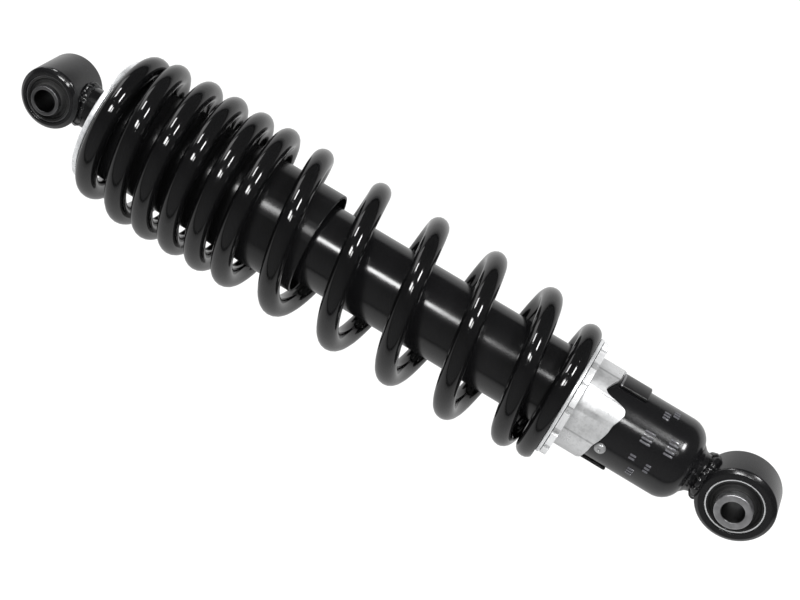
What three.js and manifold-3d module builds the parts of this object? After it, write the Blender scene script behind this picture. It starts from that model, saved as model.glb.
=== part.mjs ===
// Coil-over shock absorber, a strut for a small off-road vehicle.
// Millimetres. The strut stands upright: +Z runs from the lower eye to the upper eye, the origin is
// the centre of the lower eye, and both eye bolts run along Y. It is drawn at full extension, with
// the preload collar on its softest step.

import * as THREE from 'three';
import { mergeVertices } from 'three/addons/utils/BufferGeometryUtils.js';
import Module from 'manifold-3d';

const wasm = await Module();
wasm.setup();

// ---------------------------------------------------------------- driving dimensions

const EYE_TO_EYE = 360;
const FIT = 0.3; // gap left between pieces that touch
const BOLT_HOLE_R = 5.2; // clears an M10 bolt
const ROD_R = 6.25;
const STROKE = 75; // travel of the rod from full extension

// Each eye: a short tube across the strut that holds a bonded rubber bush.
const LOWER_EYE = { outerR: 18.4, width: 20.4, ringR: 13.5, ringWall: 1, sleeveR: 8.6, sleeveLength: 30 };
const UPPER_EYE = { outerR: 14.8, width: 27, ringR: 11.3, ringWall: 0.8, sleeveR: 7.1, sleeveLength: 33 };

// Damper body: one drawn tube with a domed lower end.
const BODY_R = 19.6;
const BORE_R = 17.8;
const BODY_BOTTOM = 23.5;
const BODY_TOP = 240;
const DOME_R = 10.5;

// Coil spring, closed at both ends, with a wide stretch below and a tight stretch above.
const WIRE_R = 5;
const COIL_R = 34.4;
const SPRING_BOTTOM = 87.9;
const SPRING_TOP = 331.1;
const FIRST_TURN = -0.25;
const LAST_TURN = 11.8;
const COIL_PHASE = THREE.MathUtils.degToRad(-146.9); // where whole turns are counted from
const COIL_START_Z = 91.5; // height of the wire's centre at the start of the first turn
// Pitch of the wire in mm per turn, at a few turns along it.
const COIL_PITCH = [
  [-0.25, 0], [0.35, 1.5], [0.75, 24], [1.6, 29], [2, 30], [5.3, 31.3],
  [6.1, 14.5], [9.9, 13.8], [10.2, 20.5], [10.7, 20.5], [11.15, 3], [11.8, 0.4],
];
// Radius to the wire's centre, at a few turns along it.
const COIL_RADII = [[0.2, 28.6], [1, 31], [1.5, 33.2], [2.1, COIL_R], [10.3, COIL_R], [11, 32.2]];
const SPRING_SIDES = 8;
const SPRING_STEPS_PER_TURN = 18;

// Preload collar: a sleeve whose lower edge is a stepped cam, repeated twice round the body.
const SEAT_TOP = 87.6;
const SEAT_R = 29.2;
const SEAT_THICKNESS = 1.6;
const FLANGE_R = 28.8;
const FLANGE_THICKNESS = 3;
const COLLAR_R = 22.2;
const COLLAR_BORE_R = 20;
const CAM_PERIOD = 180;
const CAM_WALL = -38; // angle of the tall step that ends each cam, in degrees
// Height of the cam edge at a few angles past the tall step.
const CAM_EDGE = [
  [0, 68.4], [2, 73], [7, 75], [17, 73.6], [30, 71.4], [66, 71.2], [84, 69.2], [108, 67.9], [118, 67.6],
  [130, 65.9], [143, 64.6], [153, 64.4], [162, 62.9], [169, 62.1], [175, 62.8], [178.5, 65],
];
const SPANNER_SLOTS = 15;
const SPANNER_SLOT_DEPTH = 0.9;
const SPANNER_SLOT_WIDTH = 3.4;

// Lugs and pins on the body that carry the cam.
const LUG_CENTRES = [8, 188];
const LUG_HALF_ANGLE = 21;
const LUG_TOP = 70.4;
const LUG_BOTTOM = 56.4;
const LUG_R = 21.4;
const PIN_ANGLES = [-101.7, 78.3];
const PIN_R = 2.7;
const PIN_Z = 63.9;

// Upper end: a plate that carries the spring, a dust tube and a bump stop.
const PLATE_BOTTOM = 331.4;
const PLATE_THICKNESS = 2.6;
const PLATE_R = 30.9;
const DUST_R = 25.3;
const DUST_WALL = 1.2;
const DUST_TOP_THICKNESS = 1.5;
const DUST_BOTTOM = 220;
const NECK_R = 9.5;
const BUMP_BOTTOM = BODY_TOP + STROKE + 2.2;

const SEGMENTS = 32;
const SMALL_SEGMENTS = 24;
const CAM_SEGMENTS = 90;

// ---------------------------------------------------------------- materials

function finish(color, roughness, metalness) {
  return new THREE.MeshStandardMaterial({ color, roughness, metalness });
}

const blackPaint = finish(0x0b0b0c, 0.25, 0);
const springCoating = finish(0x0a0a0a, 0.18, 0);
const blackPlastic = finish(0x17181a, 0.45, 0);
const brightZinc = finish(0xc9cbcc, 0.3, 1);
const bareSteel = finish(0x8f9193, 0.4, 1);
const darkSteel = finish(0x3a3b3d, 0.45, 1);
const chrome = finish(0xdadde0, 0.08, 1);
const rubber = finish(0x101010, 0.8, 0);
const aluminium = finish(0xa9abad, 0.35, 1);
const sealRubber = finish(0x241a14, 0.6, 0);

// ---------------------------------------------------------------- shape helpers

/** A closed shape of revolution about Z from [radius, z] points that run round it counterclockwise. */
function turned(profile, segments = SEGMENTS) {
  const points = profile.map(([radius, z]) => new THREE.Vector2(radius, z));
  return new THREE.LatheGeometry(points, segments).rotateX(Math.PI / 2);
}

/** A plain ring about Z. */
function ring(innerR, outerR, bottom, top, segments = SEGMENTS) {
  return turned([
    [innerR, bottom], [outerR, bottom], [outerR, top], [innerR, top], [innerR, bottom],
  ], segments);
}

/** The same geometry turned so that its axis is Y, centred at a height. */
function acrossAt(z, geometry) {
  return geometry.rotateX(-Math.PI / 2).translate(0, 0, z);
}

/** A solid cylinder about Z. */
function rod(radius, bottom, top, segments = SEGMENTS) {
  return new THREE.CylinderGeometry(radius, radius, top - bottom, segments)
    .rotateX(Math.PI / 2)
    .translate(0, 0, (top + bottom) / 2);
}

function toSolid(geometry) {
  const bare = geometry.clone();
  bare.deleteAttribute('normal');
  bare.deleteAttribute('uv');
  const merged = mergeVertices(bare, 1e-4);
  return new wasm.Manifold(new wasm.Mesh({
    numProp: 3,
    vertProperties: new Float32Array(merged.attributes.position.array),
    triVerts: new Uint32Array(merged.index.array),
  }));
}

function toGeometry(solid) {
  const mesh = solid.getMesh();
  const geometry = new THREE.BufferGeometry();
  geometry.setAttribute('position', new THREE.BufferAttribute(mesh.vertProperties, 3));
  geometry.setIndex(new THREE.BufferAttribute(mesh.triVerts, 1));
  return geometry;
}

function cut(geometry, ...cutters) {
  const solid = cutters.reduce((left, cutter) => left.subtract(toSolid(cutter)), toSolid(geometry));
  return toGeometry(solid);
}

/** Value at x on the straight lines between [x, value] stations, held level past both ends. */
function between(stations, x) {
  if (x <= stations[0][0]) return stations[0][1];
  for (let i = 1; i < stations.length; i += 1) {
    const [x0, value0] = stations[i - 1];
    const [x1, value1] = stations[i];
    if (x <= x1) return THREE.MathUtils.lerp(value0, value1, (x - x0) / (x1 - x0));
  }
  return stations[stations.length - 1][1];
}

function part(name, geometry, material) {
  const mesh = new THREE.Mesh(geometry, material);
  mesh.name = name;
  return mesh;
}

// ---------------------------------------------------------------- damper body

/** Body tube: domed and closed below, open above where the rod guide goes in. */
function damperTube() {
  const floor = BODY_BOTTOM + 4;
  const dome = [];
  for (let i = 0; i <= 6; i += 1) {
    const angle = (i / 6) * (Math.PI / 2);
    dome.push([
      BODY_R - DOME_R + DOME_R * Math.sin(angle),
      BODY_BOTTOM + DOME_R - DOME_R * Math.cos(angle),
    ]);
  }
  return turned([
    [0, BODY_BOTTOM], ...dome, [BODY_R, BODY_TOP], [BORE_R, BODY_TOP],
    [BORE_R, floor + 6], [BORE_R - 6, floor], [0, floor],
  ]);
}

/** Rod guide: a bushed plug in the top of the body. */
function rodGuide() {
  return ring(ROD_R + FIT, BORE_R - FIT, 218, 230);
}

function guideSeal() {
  return ring(ROD_R + FIT, BORE_R - FIT, 230.3, 235.5);
}

/** Cap that closes the body above the seal. */
function sealCap() {
  return ring(ROD_R + FIT + 1.4, BORE_R - FIT, 235.8, 239.4);
}

/** Wiper lip that keeps dirt off the rod. */
function rodWiper() {
  return turned([
    [ROD_R + FIT, 235.8], [ROD_R + FIT + 1.1, 235.8], [ROD_R + FIT + 1.1, 240.2],
    [ROD_R + FIT, 241.6], [ROD_R + FIT, 235.8],
  ], SMALL_SEGMENTS);
}

/** One curved lug on the body, under the cam edge. */
function camLug(centre) {
  const steps = 8;
  const shape = new THREE.Shape();
  const start = THREE.MathUtils.degToRad(centre - LUG_HALF_ANGLE);
  const sweep = THREE.MathUtils.degToRad(2 * LUG_HALF_ANGLE);
  const innerR = BODY_R + FIT;
  for (let i = 0; i <= steps; i += 1) {
    const angle = start + (sweep * i) / steps;
    const place = i === 0 ? 'moveTo' : 'lineTo';
    shape[place](LUG_R * Math.cos(angle), LUG_R * Math.sin(angle));
  }
  for (let i = steps; i >= 0; i -= 1) {
    const angle = start + (sweep * i) / steps;
    shape.lineTo(innerR * Math.cos(angle), innerR * Math.sin(angle));
  }
  return new THREE.ExtrudeGeometry(shape, { depth: LUG_TOP - LUG_BOTTOM, bevelEnabled: false, steps: 1 })
    .translate(0, 0, LUG_BOTTOM);
}

/** A short round pin that stands out of the body under the cam edge. */
function camPin(angle) {
  const pin = rod(PIN_R, BODY_R - 2, LUG_R, SMALL_SEGMENTS)
    .rotateY(Math.PI / 2)
    .rotateZ(THREE.MathUtils.degToRad(angle))
    .translate(0, 0, PIN_Z);
  return cut(pin, rod(BODY_R + FIT, PIN_Z - 8, PIN_Z + 8, 60));
}

// ---------------------------------------------------------------- eyes and bushes

function eyeTube(eye, height) {
  return acrossAt(height, ring(eye.ringR + FIT, eye.outerR, -eye.width / 2, eye.width / 2));
}

function bushRing(eye, height) {
  const innerR = eye.ringR - eye.ringWall;
  const half = eye.width / 2 - 0.5;
  return acrossAt(height, ring(innerR, eye.ringR, -half, half));
}

/** Bonded rubber between the outer ring and the sleeve, hollowed a little at both ends. */
function bushRubber(eye, height) {
  const innerR = eye.sleeveR + FIT;
  const outerR = eye.ringR - eye.ringWall - FIT;
  const half = eye.width / 2;
  const middle = (innerR + outerR) / 2;
  return acrossAt(height, turned([
    [innerR, -half - 1], [middle, -half + 0.8], [outerR, -half + 0.6],
    [outerR, half - 0.6], [middle, half - 0.8], [innerR, half + 1], [innerR, -half - 1],
  ]));
}

function bushSleeve(eye, height) {
  const half = eye.sleeveLength / 2;
  return acrossAt(height, ring(BOLT_HOLE_R, eye.sleeveR, -half, half));
}

/** A full cylinder the size of an eye, with clearance, for trimming a neck to it. */
function eyeCutter(eye, height) {
  return acrossAt(height, rod(eye.outerR + FIT, -eye.width, eye.width, 48));
}

/** Short stub between the body's domed end and the lower eye. */
function lowerNeck() {
  return cut(rod(9, 8, BODY_BOTTOM - FIT), eyeCutter(LOWER_EYE, 0));
}

function lowerWeld() {
  const bead = turned([
    [9.3, 13], [13.2, 13], [12.4, 19.5], [11.6, 22.2], [10.6, BODY_BOTTOM - FIT],
    [9.3, BODY_BOTTOM - FIT], [9.3, 13],
  ]);
  return cut(bead, eyeCutter(LOWER_EYE, 0));
}

// ---------------------------------------------------------------- spring and preload collar

/** Centre line of the wire. The turn count stands in for the curve's parameter. */
class CoilPath extends THREE.Curve {
  constructor() {
    super();
    this.samples = 1200;
    this.heights = [COIL_START_Z];
    const step = (LAST_TURN - FIRST_TURN) / this.samples;
    for (let i = 0; i < this.samples; i += 1) {
      const pitch = between(COIL_PITCH, FIRST_TURN + (i + 0.5) * step);
      this.heights.push(this.heights[i] + pitch * step);
    }
  }

  getPoint(t, target = new THREE.Vector3()) {
    const turn = THREE.MathUtils.lerp(FIRST_TURN, LAST_TURN, t);
    const angle = COIL_PHASE + 2 * Math.PI * turn;
    const radius = between(COIL_RADII, turn);
    const height = this.heights[Math.round(t * this.samples)];
    return target.set(radius * Math.cos(angle), radius * Math.sin(angle), height);
  }

  getPointAt(t, target) {
    return this.getPoint(t, target);
  }

  getTangentAt(t, target) {
    return this.getTangent(t, target);
  }
}

/** Coil spring. Its end turns are ground flat, so they are trimmed at the seat and the plate. */
function coilSpring() {
  const section = new THREE.Shape();
  section.absarc(0, 0, WIRE_R, 0, 2 * Math.PI);
  const spring = new THREE.ExtrudeGeometry(section, {
    steps: Math.round((LAST_TURN - FIRST_TURN) * SPRING_STEPS_PER_TURN),
    curveSegments: SPRING_SIDES / 2,
    extrudePath: new CoilPath(),
    bevelEnabled: false,
  });
  const position = spring.attributes.position;
  for (let i = 0; i < position.count; i += 1) {
    position.setZ(i, THREE.MathUtils.clamp(position.getZ(i), SPRING_BOTTOM, SPRING_TOP));
  }
  return spring;
}

/** Loose washer between the spring and the collar. */
function springSeat() {
  return ring(COLLAR_BORE_R, SEAT_R, SEAT_TOP - SEAT_THICKNESS, SEAT_TOP);
}

function camHeight(degrees) {
  const past = THREE.MathUtils.euclideanModulo(degrees - CAM_WALL, CAM_PERIOD);
  return between([...CAM_EDGE, [CAM_PERIOD, CAM_EDGE[0][1]]], past);
}

/** Preload collar: a notched flange for a hook spanner over a sleeve with a stepped cam edge. */
function preloadCollar() {
  const top = SEAT_TOP - SEAT_THICKNESS - FIT;
  const camMark = 0;
  const sleeve = turned([
    [COLLAR_BORE_R, camMark], [COLLAR_R, camMark], [COLLAR_R, top - FLANGE_THICKNESS],
    [FLANGE_R, top - FLANGE_THICKNESS], [FLANGE_R, top], [COLLAR_BORE_R, top], [COLLAR_BORE_R, camMark],
  ], CAM_SEGMENTS);
  const position = sleeve.attributes.position;
  for (let i = 0; i < position.count; i += 1) {
    const isEdge = Math.abs(position.getZ(i) - camMark) < 1e-3;
    const degrees = THREE.MathUtils.radToDeg(Math.atan2(position.getY(i), position.getX(i)));
    if (isEdge) position.setZ(i, camHeight(degrees));
  }
  const slots = [];
  for (let i = 0; i < SPANNER_SLOTS; i += 1) {
    const slot = new THREE.BoxGeometry(2 * SPANNER_SLOT_DEPTH, SPANNER_SLOT_WIDTH, 2 * FLANGE_THICKNESS)
      .translate(FLANGE_R, 0, top - FLANGE_THICKNESS / 2)
      .rotateZ((2 * Math.PI * i) / SPANNER_SLOTS);
    slots.push(slot);
  }
  return cut(sleeve, ...slots);
}

// ---------------------------------------------------------------- rod and what rides on it

/** Piston rod, threaded into the upper neck and carrying the piston below. */
function pistonRod() {
  return turned([
    [0, 131], [4, 131], [4, 154.3], [ROD_R, 154.3], [ROD_R, 341.5], [ROD_R - 1, 342.5], [0, 342.5],
  ]);
}

function piston() {
  return turned([
    [4 + FIT, 140.3], [16.4, 140.3], [17.2, 141.2], [17.2, 144], [16.2, 144], [16.2, 149], [17.2, 149],
    [17.2, 152], [16.4, 152.6], [4 + FIT, 152.6], [4 + FIT, 140.3],
  ]);
}

/** Low-friction band in the piston's groove. */
function pistonBand() {
  return ring(16.5, BORE_R - 0.1, 144.3, 148.7);
}

function valveShims(name, bottom, top, outerR) {
  return part(name, ring(4 + FIT, outerR, bottom, top, SMALL_SEGMENTS), bareSteel);
}

function pistonNut() {
  const hexagon = new THREE.CylinderGeometry(7.5, 7.5, 5.6, 6).rotateX(Math.PI / 2).translate(0, 0, 135);
  return cut(hexagon, rod(4 + FIT, 130, 140, SMALL_SEGMENTS));
}

/** Collar on the rod that meets the guide when the strut is fully out. */
function reboundStop() {
  return ring(ROD_R + FIT, 11, 205, 210.4, SMALL_SEGMENTS);
}

function reboundCushion() {
  return ring(ROD_R + FIT, 10.4, 210.7, 217.4, SMALL_SEGMENTS);
}

/** Free piston that parts the oil from the gas. It drops as the rod comes in. */
function floatingPiston() {
  return turned([
    [0, 44], [12, 44], [12, 42.5], [17.2, 42.5], [17.2, 45.4], [16, 45.4], [16, 48.6], [17.2, 48.6],
    [17.2, 52], [0, 52],
  ]);
}

function floatingSeal() {
  return ring(16.3, BORE_R - 0.1, 45.7, 48.3);
}

/** Upper spring plate, with a raised boss under the neck. */
function springPlate() {
  const bore = ROD_R + FIT;
  const top = PLATE_BOTTOM + PLATE_THICKNESS;
  return turned([
    [bore, PLATE_BOTTOM], [PLATE_R - 0.6, PLATE_BOTTOM], [PLATE_R, PLATE_BOTTOM + 0.6],
    [PLATE_R, top - 0.6], [PLATE_R - 0.6, top], [bore, top], [bore, PLATE_BOTTOM],
  ], 40);
}

/** Dust tube: thin, open below, closed above against the plate round the rod. */
function dustTube() {
  const top = PLATE_BOTTOM - FIT;
  const innerR = DUST_R - DUST_WALL;
  return turned([
    [innerR, DUST_BOTTOM], [DUST_R, DUST_BOTTOM], [DUST_R, top], [ROD_R + FIT, top],
    [ROD_R + FIT, top - DUST_TOP_THICKNESS], [innerR, top - DUST_TOP_THICKNESS], [innerR, DUST_BOTTOM],
  ]);
}

function bumpWasher() {
  const top = PLATE_BOTTOM - 2 * FIT - DUST_TOP_THICKNESS;
  return ring(ROD_R + FIT, 15, top - 1.5, top, SMALL_SEGMENTS);
}

/** Rubber bump stop, waisted so that it crushes evenly. */
function bumpStop() {
  const bore = ROD_R + FIT;
  const profile = [
    [bore, 0], [11, 0], [12.6, 1.4], [12.6, 2.8], [11.2, 4.1], [13.4, 5.9], [13.4, 7.5], [12.2, 8.9],
    [14, 10.3], [bore, 10.3], [bore, 0],
  ];
  return turned(profile, SMALL_SEGMENTS).translate(0, 0, BUMP_BOTTOM);
}

/** Neck between the plate and the upper eye, bored from below for the rod's end. */
function upperNeck() {
  const base = PLATE_BOTTOM + PLATE_THICKNESS + FIT;
  const shape = turned([
    [ROD_R + FIT, base], [NECK_R + 1.2, base], [NECK_R, base + 1.6], [NECK_R, 352], [0, 352],
    [0, 343], [ROD_R + FIT, 343], [ROD_R + FIT, base],
  ]);
  return cut(shape, eyeCutter(UPPER_EYE, EYE_TO_EYE));
}

function upperWeld() {
  const bead = turned([
    [NECK_R + FIT, 341.4], [NECK_R + 1.2, 341.4], [NECK_R + 2.4, 344], [NECK_R + 3, 350.5],
    [NECK_R + FIT, 350.5], [NECK_R + FIT, 341.4],
  ]);
  return cut(bead, eyeCutter(UPPER_EYE, EYE_TO_EYE));
}

// ---------------------------------------------------------------- assembly

function damperBody() {
  const group = new THREE.Group();
  group.add(
    part('damper_tube', damperTube(), blackPaint),
    part('rod_guide', rodGuide(), aluminium),
    part('rod_seal', guideSeal(), sealRubber),
    part('seal_cap', sealCap(), bareSteel),
    part('rod_wiper', rodWiper(), rubber),
    part('cam_lug_front', camLug(LUG_CENTRES[0]), blackPaint),
    part('cam_lug_rear', camLug(LUG_CENTRES[1]), blackPaint),
    part('cam_pin_front', camPin(PIN_ANGLES[0]), brightZinc),
    part('cam_pin_rear', camPin(PIN_ANGLES[1]), brightZinc),
    part('lower_neck', lowerNeck(), blackPaint),
    part('lower_weld', lowerWeld(), blackPaint),
    part('lower_eye', eyeTube(LOWER_EYE, 0), blackPaint),
    part('lower_bush_ring', bushRing(LOWER_EYE, 0), brightZinc),
    part('lower_bush_rubber', bushRubber(LOWER_EYE, 0), rubber),
    part('lower_sleeve', bushSleeve(LOWER_EYE, 0), bareSteel),
    part('floating_piston', floatingPiston(), aluminium),
    part('floating_seal', floatingSeal(), sealRubber),
  );
  return group;
}

function springAndCollar() {
  const group = new THREE.Group();
  group.add(
    part('coil_spring', coilSpring(), springCoating),
    part('spring_seat', springSeat(), brightZinc),
    part('preload_collar', preloadCollar(), brightZinc),
  );
  return group;
}

function rodAssembly() {
  const group = new THREE.Group();
  group.add(
    part('piston_rod', pistonRod(), chrome),
    part('piston', piston(), aluminium),
    part('piston_band', pistonBand(), sealRubber),
    valveShims('rebound_shims', 138.2, 140, 11),
    valveShims('compression_shims', 152.9, 154, 12),
    part('piston_nut', pistonNut(), bareSteel),
    part('rebound_stop', reboundStop(), bareSteel),
    part('rebound_cushion', reboundCushion(), rubber),
    part('bump_stop', bumpStop(), rubber),
    part('bump_washer', bumpWasher(), bareSteel),
    part('dust_tube', dustTube(), blackPlastic),
    part('upper_spring_plate', springPlate(), brightZinc),
    part('upper_neck', upperNeck(), blackPaint),
    part('upper_weld', upperWeld(), blackPaint),
    part('upper_eye', eyeTube(UPPER_EYE, EYE_TO_EYE), blackPaint),
    part('upper_bush_ring', bushRing(UPPER_EYE, EYE_TO_EYE), darkSteel),
    part('upper_bush_rubber', bushRubber(UPPER_EYE, EYE_TO_EYE), rubber),
    part('upper_sleeve', bushSleeve(UPPER_EYE, EYE_TO_EYE), darkSteel),
  );
  return group;
}

const strut = new THREE.Group();
strut.add(damperBody(), springAndCollar(), rodAssembly());

export default strut;
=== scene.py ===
"""Coil-over shock absorber: detailed pieces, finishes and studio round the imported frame."""

import math

import bmesh
import bpy
import numpy as np
from bpy.props import FloatProperty, FloatVectorProperty, IntProperty, PointerProperty
from mathutils import Matrix, Vector, noise


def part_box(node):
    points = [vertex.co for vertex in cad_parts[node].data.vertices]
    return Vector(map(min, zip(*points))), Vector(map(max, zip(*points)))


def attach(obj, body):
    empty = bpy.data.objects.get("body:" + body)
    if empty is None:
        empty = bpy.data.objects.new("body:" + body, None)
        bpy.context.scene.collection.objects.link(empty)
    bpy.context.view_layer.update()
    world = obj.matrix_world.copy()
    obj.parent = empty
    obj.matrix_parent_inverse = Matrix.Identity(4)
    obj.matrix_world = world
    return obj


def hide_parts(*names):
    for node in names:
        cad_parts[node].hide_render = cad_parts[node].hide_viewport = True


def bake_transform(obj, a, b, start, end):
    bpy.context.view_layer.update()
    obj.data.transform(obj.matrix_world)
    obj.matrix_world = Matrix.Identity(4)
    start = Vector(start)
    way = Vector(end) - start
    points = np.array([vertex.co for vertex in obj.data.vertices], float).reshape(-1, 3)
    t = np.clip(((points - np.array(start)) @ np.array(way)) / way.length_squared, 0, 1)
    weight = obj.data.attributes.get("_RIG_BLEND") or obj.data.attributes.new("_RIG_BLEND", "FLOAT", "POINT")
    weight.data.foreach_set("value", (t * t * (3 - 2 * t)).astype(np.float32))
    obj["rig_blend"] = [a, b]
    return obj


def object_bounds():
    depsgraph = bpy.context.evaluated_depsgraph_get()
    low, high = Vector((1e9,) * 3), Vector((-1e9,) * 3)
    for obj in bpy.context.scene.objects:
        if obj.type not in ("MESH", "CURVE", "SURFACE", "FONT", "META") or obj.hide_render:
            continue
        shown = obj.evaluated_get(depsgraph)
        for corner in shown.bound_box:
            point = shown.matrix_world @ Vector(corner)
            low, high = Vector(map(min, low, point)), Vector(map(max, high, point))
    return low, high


bl_info = {
    "name": "Coil-over Shock Absorber",
    "version": (1, 0, 0),
    "blender": (4, 5, 0),
    "location": "3D View > Sidebar > Strut",
    "description": "Builds the detailed pieces of a coil-over shock absorber round its frame",
    "category": "Add Mesh",
}

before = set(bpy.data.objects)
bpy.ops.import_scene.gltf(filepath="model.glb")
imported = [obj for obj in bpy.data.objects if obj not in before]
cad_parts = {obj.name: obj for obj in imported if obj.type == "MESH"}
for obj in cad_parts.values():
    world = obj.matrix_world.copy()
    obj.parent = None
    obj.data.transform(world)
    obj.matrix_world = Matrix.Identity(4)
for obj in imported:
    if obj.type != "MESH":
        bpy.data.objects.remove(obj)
CAD_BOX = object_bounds()

MM = 0.001
FIT = 0.3 * MM  # gap between pieces that touch
AROUND_Z = Matrix.Identity(4)
AROUND_Y = Matrix.Rotation(math.radians(-90), 4, "X")  # turns a profile's Z into +Y


# ------------------------------------------------------------------ sizes from the frame


def span(node, axis):
    """Lowest and highest coordinate of a frame node along an axis (0, 1 or 2)."""
    low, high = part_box(node)
    return low[axis], high[axis]


def radius_of(node):
    """Radius of a frame node turned about Z, from its width along X."""
    low, high = span(node, 0)
    return (high - low) / 2


def height_of(node):
    low, high = span(node, 2)
    return (low + high) / 2


# ------------------------------------------------------------------ settings


def length_setting(name, description, default):
    return FloatProperty(name=name, description=description, default=default, unit="LENGTH")


def count_setting(name, description, default, least):
    return IntProperty(name=name, description=description, default=default, min=least)


def colour_setting(name, description, default):
    return FloatVectorProperty(
        name=name, description=description, default=default, subtype="COLOR"
    )


class StrutSizes(bpy.types.PropertyGroup):
    wire_diameter: length_setting("Wire Diameter", "Thickness of the spring's wire", 10 * MM)
    coil_radius: length_setting(
        "Coil Radius", "Radius from the strut's axis to the middle of the wire", 34.4 * MM
    )
    bore_radius: length_setting(
        "Bolt Hole Radius", "Radius of the bolt hole in both sleeves", 5.2 * MM
    )
    wire_sides: count_setting("Wire Sides", "Faces round the spring's wire", 20, 8)
    steps_per_turn: count_setting(
        "Steps per Turn", "Rings of faces along each turn of the spring", 64, 24
    )
    turning_steps: count_setting("Turning Steps", "Faces round most turned pieces", 120, 48)
    spanner_slots: count_setting(
        "Spanner Slots", "Slots for a hook spanner in the collar's flange", 15, 4
    )


class StrutColours(bpy.types.PropertyGroup):
    enamel: colour_setting(
        "Enamel", "Black paint of the body and both eyes", (0.003, 0.003, 0.0033)
    )
    powder_coat: colour_setting(
        "Powder Coat", "Gloss coating of the spring", (0.0015, 0.0015, 0.0016)
    )
    plastic: colour_setting(
        "Dust Tube", "Moulded plastic of the dust tube", (0.003, 0.003, 0.0032)
    )
    zinc: colour_setting(
        "Zinc", "Bright plating of the plate, washer and lower bush ring", (0.82, 0.83, 0.84)
    )
    collar_zinc: colour_setting(
        "Collar Zinc", "Duller, handled plating of the collar and the pins", (0.58, 0.585, 0.59)
    )
    steel: colour_setting(
        "Steel", "Bare steel of the lower sleeve; the upper one's is a darker shade", (0.48, 0.48, 0.49)
    )
    floor: colour_setting("Floor", "Plain studio floor", (0.9, 0.9, 0.9))


# ------------------------------------------------------------------ finishes


class Finish:
    """A procedural material under construction, with short calls for the nodes it needs."""

    def __init__(self, name):
        self.material = bpy.data.materials.new(name)
        self.material.use_nodes = True
        self.tree = self.material.node_tree
        self.shader = self.tree.nodes["Principled BSDF"]
        self.coordinates = self.tree.nodes.new("ShaderNodeTexCoord").outputs["Object"]

    def set(self, **values):
        """Sets constants on the shader, with underscores for the spaces of its socket names."""
        for key, value in values.items():
            socket = self.shader.inputs[key.replace("_", " ")]
            if socket.type == "RGBA":
                value = (*value, 1)
            socket.default_value = value
        return self

    def link(self, output, socket):
        self.tree.links.new(output, socket)

    def node(self, kind, **values):
        """A new node, with constants on its sockets, named with underscores for spaces."""
        node = self.tree.nodes.new(kind)
        for key, value in values.items():
            node.inputs[key.replace("_", " ")].default_value = value
        return node

    def mapped(self, scale=(1, 1, 1), location=(0, 0, 0), rotation=(0, 0, 0)):
        node = self.node("ShaderNodeMapping", Scale=scale, Location=location, Rotation=rotation)
        self.link(self.coordinates, node.inputs["Vector"])
        return node.outputs["Vector"]

    def noise(self, scale, detail=3, vector=None, roughness=0.5):
        node = self.node("ShaderNodeTexNoise", Scale=scale, Detail=detail, Roughness=roughness)
        self.link(vector or self.coordinates, node.inputs["Vector"])
        return node.outputs["Fac"]

    def specks(self, scale):
        """Distance to the nearest of many scattered points."""
        node = self.node("ShaderNodeTexVoronoi", Scale=scale)
        self.link(self.coordinates, node.inputs["Vector"])
        return node.outputs["Distance"]

    def distance_from_axis(self, axis, centre=(0, 0, 0)):
        """Distance from an axis through centre, for turning marks on an end face."""
        flat = [0.0 if i == axis else 1.0 for i in range(3)]
        moved = self.mapped(location=[-c * f for c, f in zip(centre, flat)], scale=flat)
        node = self.node("ShaderNodeVectorMath")
        node.operation = "LENGTH"
        self.link(moved, node.inputs[0])
        return node.outputs["Value"]

    def angle_from(self, degrees):
        """Angle round Z from a given angle, in degrees."""
        turned = self.mapped(rotation=(0, 0, -math.radians(degrees)))
        separate = self.node("ShaderNodeSeparateXYZ")
        self.link(turned, separate.inputs["Vector"])
        angle = self.maths("ARCTAN2", separate.outputs["Y"], separate.outputs["X"])
        return self.maths("MULTIPLY", angle, 180 / math.pi)

    def spread(self, value, from_min, from_max, to_min, to_max):
        ends = {"From_Min": from_min, "From_Max": from_max, "To_Min": to_min, "To_Max": to_max}
        node = self.node("ShaderNodeMapRange", **ends)
        self.link(value, node.inputs["Value"])
        return node.outputs["Result"]

    def maths(self, operation, first, second):
        node = self.node("ShaderNodeMath")
        node.operation = operation
        for socket, value in zip(node.inputs, (first, second)):
            if isinstance(value, bpy.types.NodeSocket):
                self.link(value, socket)
            else:
                socket.default_value = value
        return node.outputs["Value"]

    def between(self, factor, first, second):
        """Colour that runs from first to second with factor."""
        node = self.node("ShaderNodeMix")
        node.data_type = "RGBA"
        self.link(factor, node.inputs["Factor"])
        for socket, value in zip((node.inputs[6], node.inputs[7]), (first, second)):
            if isinstance(value, bpy.types.NodeSocket):
                self.link(value, socket)
            else:
                socket.default_value = (*value, 1)
        return node.outputs[2]

    def colour(self, output):
        self.link(output, self.shader.inputs["Base Color"])
        return self

    def roughness(self, pattern, low, high, pattern_ends=(0.3, 0.7)):
        """Roughness that runs from low to high with a pattern."""
        spread = self.spread(pattern, *pattern_ends, low, high)
        self.link(spread, self.shader.inputs["Roughness"])
        return self

    def relief(self, height, depth):
        """Bump of a depth in metres, laid over any bump already there."""
        node = self.node("ShaderNodeBump", Distance=depth)
        self.link(height, node.inputs["Height"])
        normal = self.shader.inputs["Normal"]
        if normal.is_linked:
            self.link(normal.links[0].from_socket, node.inputs["Normal"])
        self.link(node.outputs["Normal"], normal)
        return self


def scaled(colour, factor):
    return tuple(channel * factor for channel in colour)


def gloss_enamel(name, colour):
    """Sprayed gloss enamel: faint orange peel, patchy gloss and a little settled dust."""
    finish = Finish(name)
    patches = finish.noise(38, detail=4)
    dust = finish.spread(finish.specks(900), 0.05, 0.11, 1, 0)
    finish.colour(finish.between(dust, colour, scaled(colour, 5)))
    finish.roughness(patches, 0.13, 0.22)
    finish.relief(finish.noise(330, detail=2), 0.02 * MM)
    return finish.material


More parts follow.
